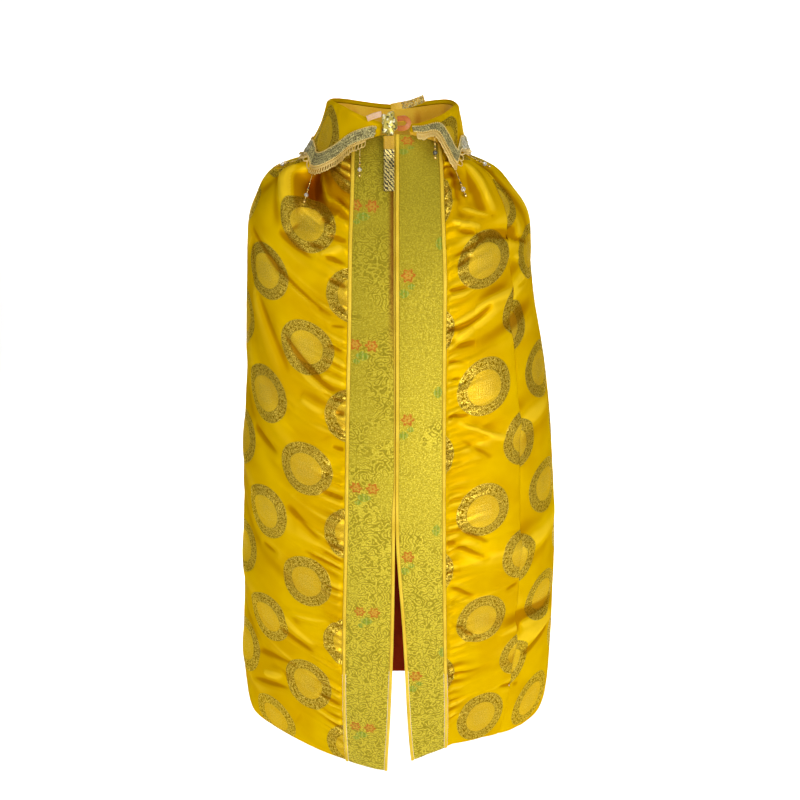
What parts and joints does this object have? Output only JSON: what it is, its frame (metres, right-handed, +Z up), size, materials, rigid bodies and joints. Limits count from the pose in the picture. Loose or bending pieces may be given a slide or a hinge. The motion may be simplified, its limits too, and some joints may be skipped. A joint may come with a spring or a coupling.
{
  "type": "burial cloak",
  "caption": "Sleeveless burial cloak of gathered gold satin brocade with stiff front bands, a turned-down braided collar, bead pendants and a tied throat, in its worn hollow form.",
  "frame": {"origin": "middle of the neck opening at the neck seam, where the wearer's neck and shoulders hold the cloak", "axes": "+Z up, the front opening faces -Y, the wearer's left is toward +X"},
  "size_m": [0.6353, 0.3609, 1.2499],
  "materials": {
    "satin": "golden-yellow satin brocade with woven medallions, soft sheen",
    "band": "gold and green brocade with a dark scroll ground, semi-matte metallic yarn",
    "piping": "yellow satin piping",
    "lining": "dark red lining cloth",
    "braid": "silver-gold sequinned braid and looped fringe",
    "beads": "gold and clear beads on thread",
    "tip": "gold and black striped brocade"
  },
  "bodies": {
    "root": {"back": "satin", "band_left": "band", "band_right": "band", "collar_braid": "braid", "collar_fall": "satin", "collar_fringe": "braid", "collar_stand": "satin", "front_left": "satin", "front_right": "satin", "lining": "lining", "pendant_01": "beads", "pendant_02": "beads", "pendant_03": "beads", "pendant_04": "beads", "pendant_05": "beads", "pendant_06": "beads", "pendant_07": "beads", "pendant_08": "beads", "pendant_09": "beads", "pendant_10": "beads", "pendant_11": "beads", "piping_left_inner": "piping", "piping_left_outer": "piping", "piping_right_inner": "piping", "piping_right_outer": "piping", "tie_hanging_end": "satin", "tie_knot": "satin", "tie_loop": "satin", "tie_strap": "satin", "tie_tip": "tip", "tie_upper_end": "satin"}
  },
  "joints": []
}
